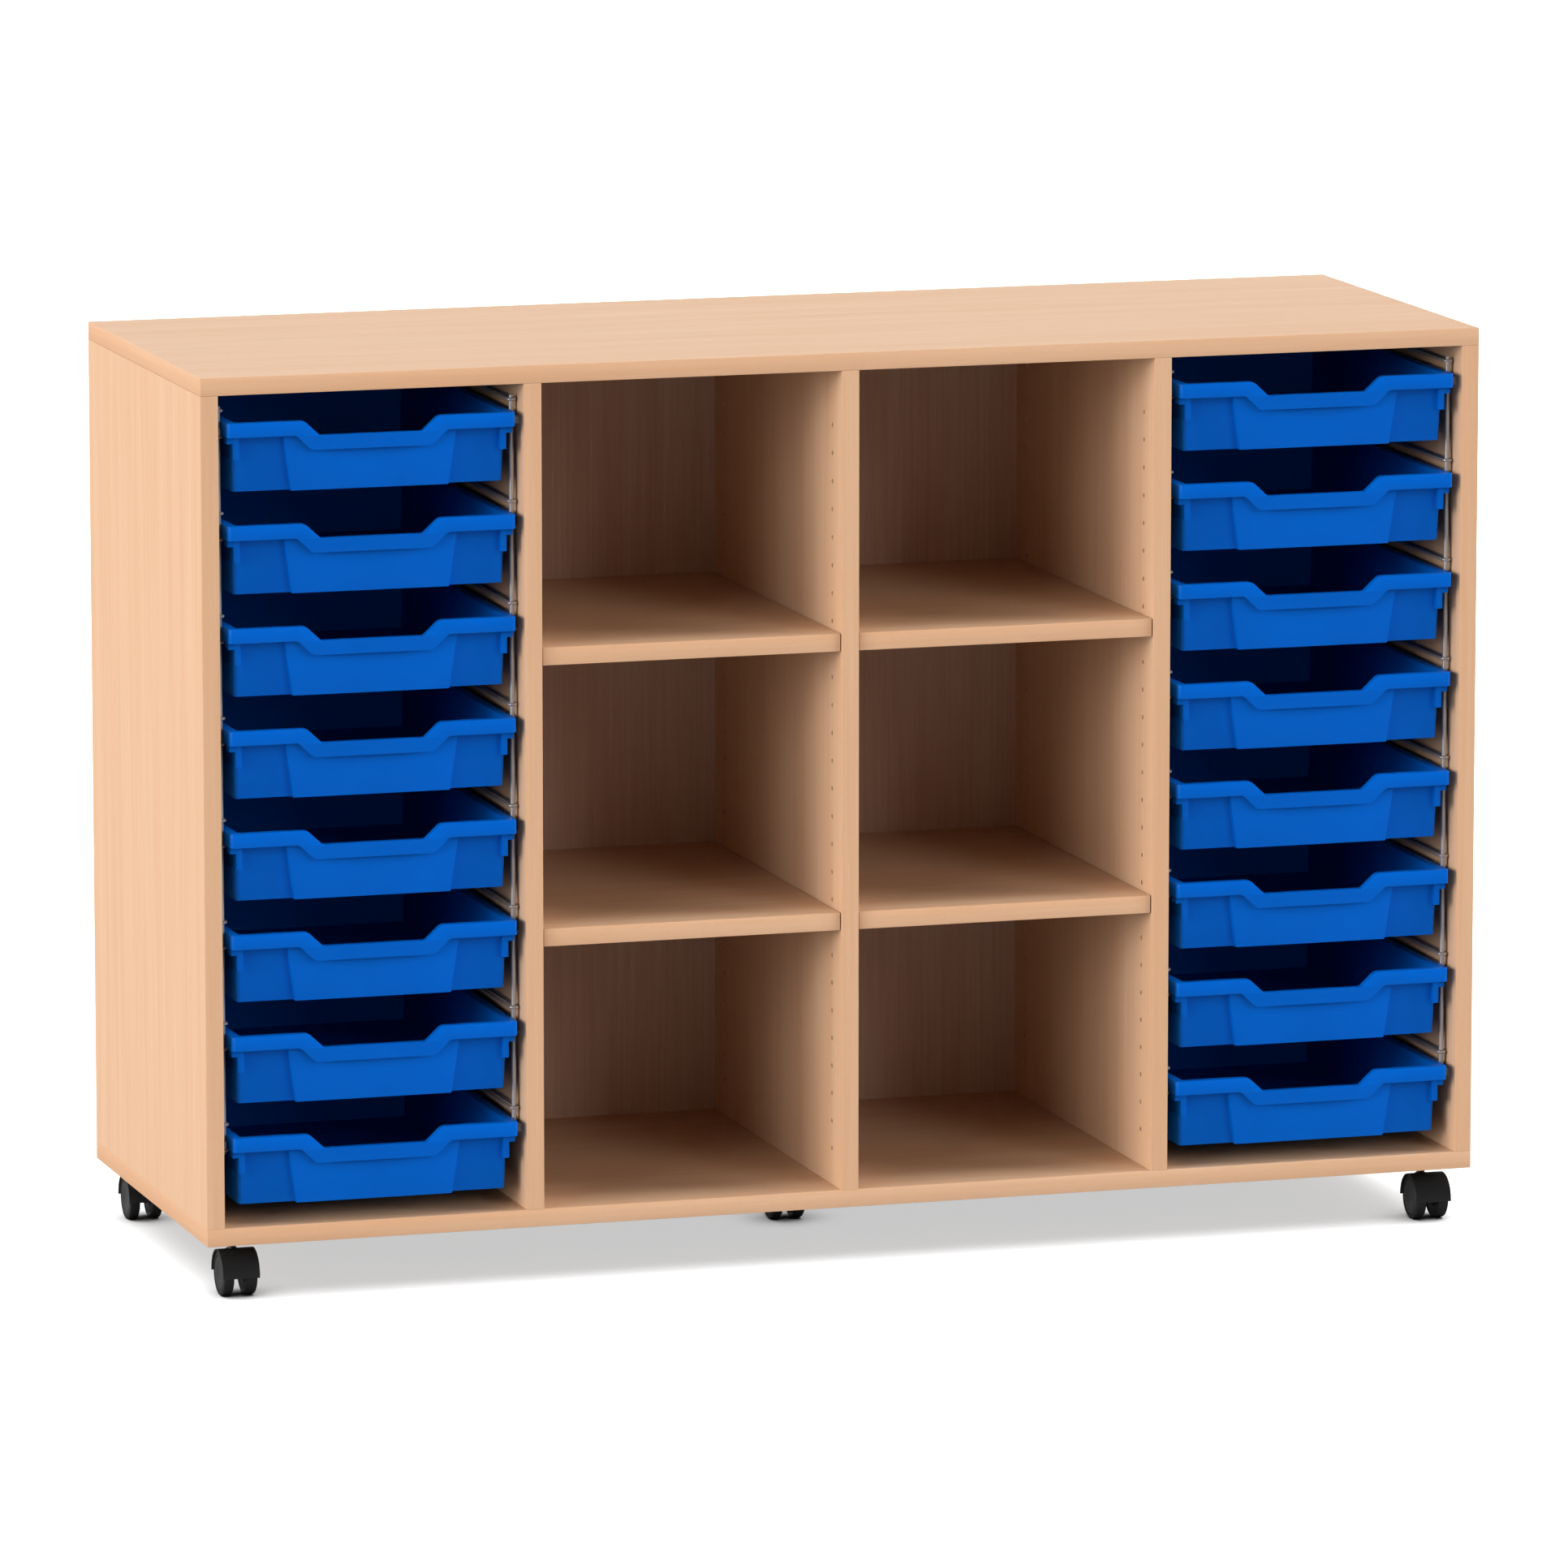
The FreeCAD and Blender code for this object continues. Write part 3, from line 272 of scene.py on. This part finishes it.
def soften(shape, edges, radius, segments=2):
    """Rounds edges of a bmesh by a small radius."""
    bmesh.ops.bevel(shape, geom=edges, offset=radius, offset_type="OFFSET", segments=segments,
                    profile=0.5, affect="EDGES", clamp_overlap=True, loop_slide=True)


# ---------------------------------------------------------------- carcase

def dress_boards():
    for node in ("top_panel", "bottom_panel", *(f"{bay}_shelf" for bay in BAYS)):
        dress(node, LONG_BEECH)
    for node in UPRIGHTS:
        dress(node, TALL_BEECH)
    dress("back_panel", BACK_BEECH)
    dress("carcase_dowels", DOWEL_WOOD)
    dress("cam_discs", CAM_COVER)
    dress("cam_bolts", BOLT_ZINC)
    dress("shelf_pins", PIN_NICKEL)


SAME_WAY = 0.9          # least product of unit vectors that point the same way


def lipping_box(board, axis, side, overhang=0):
    """Where a lipping lies on one side of a board, reaching past the board's ends by an overhang."""
    low, high = (Vector(corner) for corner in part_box(board))
    if side < 0:
        high[axis] = low[axis]
        low[axis] -= LIPPING
    else:
        low[axis] = high[axis]
        high[axis] += LIPPING
    low.x -= overhang
    high.x += overhang
    return low, high


def add_strip(shape, corners, glued, grain):
    """Adds a lipping whose edges are eased, apart from those on its glued sides.  The grain is the
    number of its material."""
    low, high = corners
    made = bmesh.ops.create_cube(shape, size=1)["verts"]
    for vert in made:
        vert.co = Vector(high[axis] if vert.co[axis] > 0 else low[axis] for axis in range(3))
    faces = {face for vert in made for face in vert.link_faces}
    for face in faces:
        face.normal_update()
        face.material_index = grain
    held = {face for face in faces if any(face.normal[axis] * side > SAME_WAY for axis, side in glued)}
    free = {edge for face in faces for edge in face.edges if not held.intersection(edge.link_faces)}
    soften(shape, list(free), LIPPING_EASE)


def lippings():
    """The thin bands on the boards' edges, each with its grain along its length."""
    across, inward, upward = 0, 1, 2
    shape = bmesh.new()
    for board in ("top_panel", "bottom_panel"):
        for side in (-1, 1):
            add_strip(shape, lipping_box(board, inward, side, LIPPING), [(inward, -side)], across)
            add_strip(shape, lipping_box(board, across, side),
                      [(across, -side), (inward, -1), (inward, 1)], inward)
    for upright in UPRIGHTS:
        sides = (-1, 1) if "side_panel" in upright else (-1,)
        for side in sides:
            add_strip(shape, lipping_box(upright, inward, side),
                      [(inward, -side), (upward, -1), (upward, 1)], upward)
    for bay in BAYS:
        add_strip(shape, lipping_box(f"{bay}_shelf", inward, -1), [(inward, 1)], across)
    new_piece("lippings", shape, [LONG_EDGE, DEEP_EDGE, TALL_EDGE], "carcase", "beech_edge", "edge_bands")


# ---------------------------------------------------------------- runners

BEND_STEPS = 10
WIRE_SIDES = 14
POST_SIDES = 20


def group_input(tree, name, value, kind="NodeSocketFloat"):
    """Adds a named input to a node tree and returns the identifier by which it is set."""
    socket = tree.interface.new_socket(name=name, in_out="INPUT", socket_type=kind)
    socket.default_value = value
    return socket.identifier


def runner_tree():
    """Two posts and a pair of closed wire loops for every tray, from named sizes."""
    tree = bpy.data.node_groups.new("runner_frame", "GeometryNodeTree")
    tree.interface.new_socket(name="Geometry", in_out="INPUT", socket_type="NodeSocketGeometry")
    tree.interface.new_socket(name="Geometry", in_out="OUTPUT", socket_type="NodeSocketGeometry")
    sockets = {name: group_input(tree, name, 0.1) for name in
               ("Wire Radius", "Post Radius", "Bend Radius", "Post Spacing", "Level Pitch",
                "Loop Spacing", "Post Foot", "Post Head", "Top Loop")}
    sockets["Levels"] = group_input(tree, "Levels", TRAYS_IN_COLUMN, "NodeSocketInt")
    given = tree.nodes.new("NodeGroupInput").outputs
    result = tree.nodes.new("NodeGroupOutput")

    def add(kind, **values):
        node = tree.nodes.new(kind)
        for name, value in values.items():
            socket = node.inputs[name.replace("_", " ")]
            if isinstance(value, bpy.types.NodeSocket):
                tree.links.new(value, socket)
            else:
                socket.default_value = value
        return node

    def sum_of(first, second, operation="ADD"):
        node = tree.nodes.new("ShaderNodeMath")
        node.operation = operation
        for socket, value in zip(node.inputs, (first, second)):
            if isinstance(value, bpy.types.NodeSocket):
                tree.links.new(value, socket)
            else:
                socket.default_value = value
        return node.outputs[0]

    def point(x=0.0, y=0.0, z=0.0):
        return add("ShaderNodeCombineXYZ", X=x, Y=y, Z=z).outputs[0]

    width = sum_of(given["Bend Radius"], 2, "MULTIPLY")
    path = add("GeometryNodeCurvePrimitiveQuadrilateral", Width=width,
               Height=sum_of(given["Post Spacing"], width))
    rounded = tree.nodes.new("GeometryNodeFilletCurve")
    rounded.mode = "POLY"
    tree.links.new(path.outputs[0], rounded.inputs["Curve"])
    tree.links.new(given["Bend Radius"], rounded.inputs["Radius"])
    rounded.inputs["Count"].default_value = BEND_STEPS
    wire = add("GeometryNodeCurvePrimitiveCircle", Resolution=WIRE_SIDES, Radius=given["Wire Radius"])
    loop = add("GeometryNodeCurveToMesh", Curve=rounded.outputs[0], Profile_Curve=wire.outputs[0])
    middle = sum_of(given["Post Spacing"], 0.5, "MULTIPLY")
    down = point(z=sum_of(given["Level Pitch"], -1, "MULTIPLY"))
    parts = []
    for drop in (0.0, given["Loop Spacing"]):
        start = point(0.0, middle, sum_of(given["Top Loop"], drop, "SUBTRACT"))
        levels = add("GeometryNodeMeshLine", Count=given["Levels"], Start_Location=start, Offset=down)
        copies = add("GeometryNodeInstanceOnPoints", Points=levels.outputs[0], Instance=loop.outputs[0])
        parts.append(copies.outputs[0])
    bar = add("GeometryNodeCurvePrimitiveCircle", Resolution=POST_SIDES, Radius=given["Post Radius"])
    for y in (0.0, given["Post Spacing"]):
        line = add("GeometryNodeCurvePrimitiveLine", Start=point(0.0, y, given["Post Foot"]),
                   End=point(0.0, y, given["Post Head"]))
        post = add("GeometryNodeCurveToMesh", Curve=line.outputs[0], Profile_Curve=bar.outputs[0],
                   Fill_Caps=True)
        parts.append(post.outputs[0])
    joined = tree.nodes.new("GeometryNodeJoinGeometry")
    for part in parts:
        tree.links.new(part, joined.inputs[0])
    real = add("GeometryNodeRealizeInstances", Geometry=joined.outputs[0])
    painted = add("GeometryNodeSetMaterial", Geometry=real.outputs[0], Material=WIRE_CHROME)
    tree.links.new(painted.outputs[0], result.inputs[0])
    return tree, sockets


def runner_frames():
    """Each runner's wires, drawn round and a little thicker than the solids that they stand for."""
    tree, sockets = runner_tree()
    wire = 3.2 * MM
    solid_wire = 2.8 * MM
    post = 5.2 * MM
    loop_spacing = 27.5 * MM
    post_end = 4.5 * MM
    top_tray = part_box("left_tray_1")[1][2]
    pitch = top_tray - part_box("left_tray_2")[1][2]
    for runner in RUNNERS:
        low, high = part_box(f"{runner}_runner")
        bend = (post + solid_wire) / 2
        sizes = {
            "Wire Radius": wire / 2, "Post Radius": post / 2, "Bend Radius": bend,
            "Post Spacing": high[1] - low[1] - 2 * bend - solid_wire, "Level Pitch": pitch,
            "Loop Spacing": loop_spacing, "Post Foot": low[2], "Post Head": high[2],
            "Top Loop": high[2] - post_end, "Levels": TRAYS_IN_COLUMN,
        }
        maker = bpy.data.objects.new("runner_maker", bpy.data.meshes.new("runner_maker"))
        bpy.context.scene.collection.objects.link(maker)
        modifier = maker.modifiers.new("frame", "NODES")
        modifier.node_group = tree
        for name, value in sizes.items():
            modifier[sockets[name]] = value
        ready = maker.evaluated_get(bpy.context.evaluated_depsgraph_get())
        made = bpy.data.meshes.new_from_object(ready)
        shape = bmesh.new()
        shape.from_mesh(made)
        front_post = ((low[0] + high[0]) / 2, low[1] + solid_wire / 2 + bend, 0)
        bmesh.ops.translate(shape, verts=shape.verts, vec=front_post)
        bmesh.ops.recalc_face_normals(shape, faces=shape.faces)
        new_piece(f"{runner}_wires", shape, WIRE_CHROME, "carcase", "chrome_wire", f"{runner}_runner")
        bpy.data.objects.remove(maker)
        bpy.data.meshes.remove(made)
    dress("runner_clips", CLIP_PLASTIC)


# ---------------------------------------------------------------- trays

def trays():
    """One tray mesh, its edges eased as moulded plastic is, placed at all sixteen levels."""
    first = merged_copy("left_tray_1")
    soften(first, sharp_edges(first, degrees=40), TRAY_EASE)
    home = Vector(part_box("left_tray_1")[0])
    master = bpy.data.meshes.new("tray_shape")
    first.to_mesh(master)
    first.free()
    for side in SIDES:
        for level in range(1, TRAYS_IN_COLUMN + 1):
            node = f"{side}_tray_{level}"
            shape = bmesh.new()
            shape.from_mesh(master)
            bmesh.ops.translate(shape, verts=shape.verts, vec=Vector(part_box(node)[0]) - home)
            new_piece(f"{node}_moulding", shape, TRAY_BLUE, node, "tray_plastic", node)
    bpy.data.meshes.remove(master)


# ---------------------------------------------------------------- castors

def turned(profile, centre, segments=64):
    """A solid turned about X from pairs of place along the axis and radius."""
    on_axis = 0.001 * MM
    shape = bmesh.new()
    rings = []
    for x, radius in profile:
        if radius < on_axis:
            rings.append([shape.verts.new((centre[0] + x, centre[1], centre[2]))])
            continue
        ring = []
        for step in range(segments):
            angle = 2 * math.pi * step / segments
            ring.append(shape.verts.new((centre[0] + x, centre[1] + radius * math.cos(angle),
                                         centre[2] + radius * math.sin(angle))))
        rings.append(ring)
    for first, second in zip(rings, rings[1:]):
        for step in range(segments):
            following = (step + 1) % segments
            corners = [first[step % len(first)], first[following % len(first)],
                       second[following % len(second)], second[step % len(second)]]
            unique = list(dict.fromkeys(corners))
            if len(unique) > 2:
                shape.faces.new(unique)
    bmesh.ops.recalc_face_normals(shape, faces=shape.faces)
    return shape


def quarter_turn(steps=4):
    return [math.pi / 2 * step / steps for step in range(steps + 1)]


def wheel_section(width, radius, disc):
    """A wheel's section as pairs of place along the axle and radius: the inner face, the tread, the
    outer face with its disc, and the blind bore."""
    bore = 2.6 * MM
    shoulder = 2.0 * MM
    hollow = 0.8 * MM
    groove = width - 0.7 * MM
    disc_face = width - 0.1 * MM
    boss_face = width - 0.45 * MM
    middle = width - 0.3 * MM
    bore_end = width - 2 * MM
    inner_face = [(0, bore), (0, radius * 0.42), (hollow, radius * 0.46), (hollow, radius * 0.80),
                  (0, radius * 0.84)]
    inner_shoulder = [(shoulder * (1 - math.cos(turn)), radius - shoulder * (1 - math.sin(turn)))
                      for turn in quarter_turn()]
    outer_shoulder = [(width - shoulder * (1 - math.sin(turn)), radius - shoulder * (1 - math.cos(turn)))
                      for turn in quarter_turn()]
    groove_round_disc = [(width, disc + 0.5 * MM), (groove, disc + 0.2 * MM), (groove, disc - 0.3 * MM)]
    disc_and_boss = [(disc_face, disc - 0.9 * MM), (disc_face, radius * 0.30), (boss_face, radius * 0.27),
                     (boss_face, radius * 0.12), (middle, 0)]
    blind_bore = [(bore_end, 0), (bore_end, bore), (0, bore)]
    return (inner_face + inner_shoulder + outer_shoulder + groove_round_disc + disc_and_boss
            + blind_bore)


def castor_wheels():
    """Wheels with an eased tread and a grey disc set into the outer face."""
    disc_depth = 1.0 * MM
    for castor in CASTORS:
        for side in SIDES:
            node = f"{castor}_castor_{side}_wheel"
            low, high = (Vector(corner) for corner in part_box(node))
            outward = 1 if side == "right" else -1
            centre = (low + high) / 2
            centre.x = low.x if outward > 0 else high.x
            width = high.x - low.x
            radius = (high.z - low.z) / 2
            disc = radius * 0.80
            section = [(outward * x, distance) for x, distance in wheel_section(width, radius, disc)]
            shape = turned(section, centre)
            for face in shape.faces:
                away = face.calc_center_median() - centre
                if math.hypot(away.y, away.z) < disc and abs(away.x) > width - disc_depth:
                    face.material_index = 1
            new_piece(f"{castor}_{side}_wheel", shape, [WHEEL_BLACK, DISC_GREY],
                      node, "wheel_black", node)


def castor_hoods():
    for castor in CASTORS:
        node = f"{castor}_castor_hood"
        shape = merged_copy(node)
        soften(shape, sharp_edges(shape, degrees=50), HOOD_EASE)
        new_piece(f"{castor}_hood", shape, CASTOR_BLACK, f"{castor}_castor", "castor_black", node)
        dress(f"{castor}_castor_axle", STEM_STEEL)
    dress("castor_stems", STEM_STEEL)
    dress("castor_sockets", CASTOR_BLACK)


# ---------------------------------------------------------------- floor, light and camera

AMBIENT = 0.055         # what the surround gives to the unit
DIM_BEFORE = 0.06       # what gloss shows of the surround before the unit


def white_world():
    """A white surround for the eye.  In gloss it is white behind the unit and dim before it, and it
    lights the unit only a little."""
    world = bpy.data.worlds.new("surround")
    world.use_nodes = True
    tree = world.node_tree
    tree.nodes.clear()
    path = tree.nodes.new("ShaderNodeLightPath")

    def spread(value, low, high, to_low, to_high):
        node = tree.nodes.new("ShaderNodeMapRange")
        for socket, number in zip(RANGE_SOCKETS, (low, high, to_low, to_high)):
            node.inputs[socket].default_value = number
        tree.links.new(value, node.inputs["Value"])
        return node.outputs["Result"]

    def either(first, second):
        node = tree.nodes.new("ShaderNodeMath")
        node.operation = "MAXIMUM"
        for socket, value in zip(node.inputs, (first, second)):
            tree.links.new(value, socket)
        return node.outputs[0]

    direction = tree.nodes.new("ShaderNodeSeparateXYZ")
    tree.links.new(tree.nodes.new("ShaderNodeTexCoord").outputs["Generated"], direction.inputs[0])
    backdrop = spread(direction.outputs["Y"], low=-0.1, high=0.35, to_low=DIM_BEFORE, to_high=1)
    mirrored = tree.nodes.new("ShaderNodeMath")
    mirrored.operation = "MULTIPLY"
    gloss = either(path.outputs["Is Glossy Ray"], path.outputs["Is Transmission Ray"])
    for socket, value in zip(mirrored.inputs, (gloss, backdrop)):
        tree.links.new(value, socket)
    seen = either(path.outputs["Is Camera Ray"], mirrored.outputs[0])
    background = tree.nodes.new("ShaderNodeBackground")
    background.inputs["Color"].default_value = (1, 1, 1, 1)
    tree.links.new(spread(seen, 0, 1, AMBIENT, 1), background.inputs["Strength"])
    output = tree.nodes.new("ShaderNodeOutputWorld")
    tree.links.new(background.outputs[0], output.inputs["Surface"])
    return world


FLOOR_REACH = 40        # metres from the middle to an edge


def pale_floor():
    """A floor that shows white to the eye and sends little light back up.  Away from the unit it glows,
    so that it fades into the surround."""
    shape = bmesh.new()
    bmesh.ops.create_grid(shape, x_segments=1, y_segments=1, size=FLOOR_REACH)
    mesh = bpy.data.meshes.new("floor")
    shape.to_mesh(mesh)
    shape.free()
    floor = bpy.data.objects.new("floor", mesh)
    bpy.context.scene.collection.objects.link(floor)
    finish = Finish("white_floor")
    finish.surface.inputs["Roughness"].default_value = 0.9
    finish.surface.inputs["Specular IOR Level"].default_value = 0
    seen = finish.add("ShaderNodeLightPath").outputs["Is Camera Ray"]
    finish.link(finish.between(seen, 0, 1, to_low=0.2, to_high=0.95), finish.surface.inputs["Base Color"])
    away = finish.add("ShaderNodeVectorMath", operation="LENGTH")
    finish.link(finish.place, away.inputs[0])
    glow = finish.add("ShaderNodeMath", operation="MULTIPLY")
    finish.link(finish.between(away.outputs["Value"], low=1.3, high=3.0), glow.inputs[0])
    finish.link(seen, glow.inputs[1])
    finish.surface.inputs["Emission Color"].default_value = (1, 1, 1, 1)
    finish.link(glow.outputs[0], finish.surface.inputs["Emission Strength"])
    mesh.materials.append(finish.material)
    return floor


def lamp(name, kind, power, place, target=(0, 0, 0)):
    """A lamp of a kind at a place, aimed at a target."""
    light = bpy.data.lights.new(name, kind)
    light.energy = power
    holder = bpy.data.objects.new(name, light)
    holder.location = place
    holder.rotation_euler = (Vector(target) - Vector(place)).to_track_quat("-Z", "Y").to_euler()
    bpy.context.scene.collection.objects.link(holder)
    return holder


def softbox(name, power, place, target, width, height):
    """A flat rectangular lamp."""
    holder = lamp(name, "AREA", power, place, target)
    holder.data.shape = "RECTANGLE"
    holder.data.size = width
    holder.data.size_y = height
    return holder


def carcase_front():
    """Where the carcase's front face lies, without the trays."""
    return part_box("edge_bands")[0][1]


def collection_of(name, objects):
    chosen = bpy.data.collections.new(name)
    for item in objects:
        chosen.objects.link(item)
    return chosen


def from_angles(azimuth, elevation, distance, target):
    """A place seen from a target: azimuth from the front, positive to the right."""
    flat = math.cos(math.radians(elevation)) * distance
    return Vector(target) + Vector((flat * math.sin(math.radians(azimuth)),
                                    -flat * math.cos(math.radians(azimuth)),
                                    distance * math.sin(math.radians(elevation))))


WHITE = (1, 1, 1)
WARM = (1, 0.93, 0.86)
# Soft suns on the unit: azimuth from the front, elevation and width in degrees, strength, whether gloss
# shows them, and their colour
SUNS = {
    "key": (-80, 9, 30, 0.77, True, WARM),
    "left_front": (-55, 15, 25, 0.18, False, WHITE),
    "right_front": (27, 18, 25, 0.19, False, WHITE),
    "right": (75, 12, 25, 0.60, False, WHITE),
    "back": (180, 5, 30, 0.55, False, WHITE),
    "overhead": (0, 88, 25, 0.385, False, WHITE),
}
FRONT_FILL = (8, 55, 30, 0.09, False, WHITE)        # on the trays and the edge bands
TRAY_GLOW = (0, 30, 30, 0.06, False, WHITE)         # inside the trays, without shadows
SUN_DISTANCE = 6.0
UNIT_MIDDLE = (0, 0, 0.5)
BOUNCES = 1
STRIP_POWER = 230
STRIP_HEIGHT = 4.0
STRIP_LENGTH = 20
STRIP_WIDTH = 0.3
CONTACT_STRENGTH = 5.2
CONTACT_HEIGHT = 5
CONTACT_WIDTH = 90      # degrees


def soft_sun(name, setting, lit):
    """A sun for some objects, at a strength where 1 lights a facing surface at its own colour."""
    azimuth, elevation, width, strength, shows, tint = setting
    place = from_angles(azimuth, elevation, SUN_DISTANCE, UNIT_MIDDLE)
    sun = lamp(name, "SUN", math.pi * strength, place, UNIT_MIDDLE)
    sun.data.angle = math.radians(width)
    sun.data.color = tint
    sun.visible_glossy = shows
    sun.data.cycles.max_bounces = BOUNCES
    sun.light_linking.receiver_collection = lit
    return sun


def floor_lamps(ground, rolling):
    """Lamps on the floor alone: a strip over the unit's front line, which the carcase holds off the
    floor beneath it, and a wide sun that only the castors shade."""
    front = carcase_front()
    strip = softbox("floor_strip", STRIP_POWER, (0, front, STRIP_HEIGHT), (0, front, 0),
                    STRIP_LENGTH, STRIP_WIDTH)
    contact = lamp("floor_contact", "SUN", CONTACT_STRENGTH, (0, 0, CONTACT_HEIGHT))
    contact.data.angle = math.radians(CONTACT_WIDTH)
    contact.light_linking.blocker_collection = collection_of("casters_of_contact", rolling)
    for holder in (strip, contact):
        holder.data.cycles.max_bounces = BOUNCES
        holder.light_linking.receiver_collection = ground


def studio():
    scene = bpy.context.scene
    scene.view_settings.view_transform = "Standard"
    scene.world = white_world()
    pieces = [item for item in scene.objects if item.type == "MESH"]
    rolling = [item for item in pieces if any(word in item.name for word in ("castor", "wheel", "hood"))]
    blue = [item for item in pieces if "tray" in item.name]
    floor = pale_floor()
    part = collection_of("lit_part", pieces)
    for name, setting in SUNS.items():
        soft_sun(name, setting, part)
    soft_sun("front_fill", FRONT_FILL, collection_of("lit_fronts", [*blue, scene.objects["lippings"]]))
    depths = soft_sun("tray_depths", TRAY_GLOW, collection_of("lit_trays", blue))
    depths.data.use_shadow = False
    floor_lamps(collection_of("lit_floor", [floor]), rolling)


def camera():
    """A long lens, low and to the left of the front."""
    lens = bpy.data.cameras.new("camera")
    lens.lens = 255.6
    lens.sensor_width = 36
    lens.clip_end = 100
    view = bpy.data.objects.new("camera", lens)
    from_front = Vector((-3.5229, -11.1547, 2.5057))
    view.location = from_front + Vector((0, carcase_front(), 0))
    looking = Vector((0.29121, 0.94191, -0.16734))
    view.rotation_euler = looking.to_track_quat("-Z", "Y").to_euler()
    bpy.context.scene.collection.objects.link(view)
    bpy.context.scene.camera = view


dress_boards()
lippings()
runner_frames()
trays()
castor_wheels()
castor_hoods()
studio()
camera()
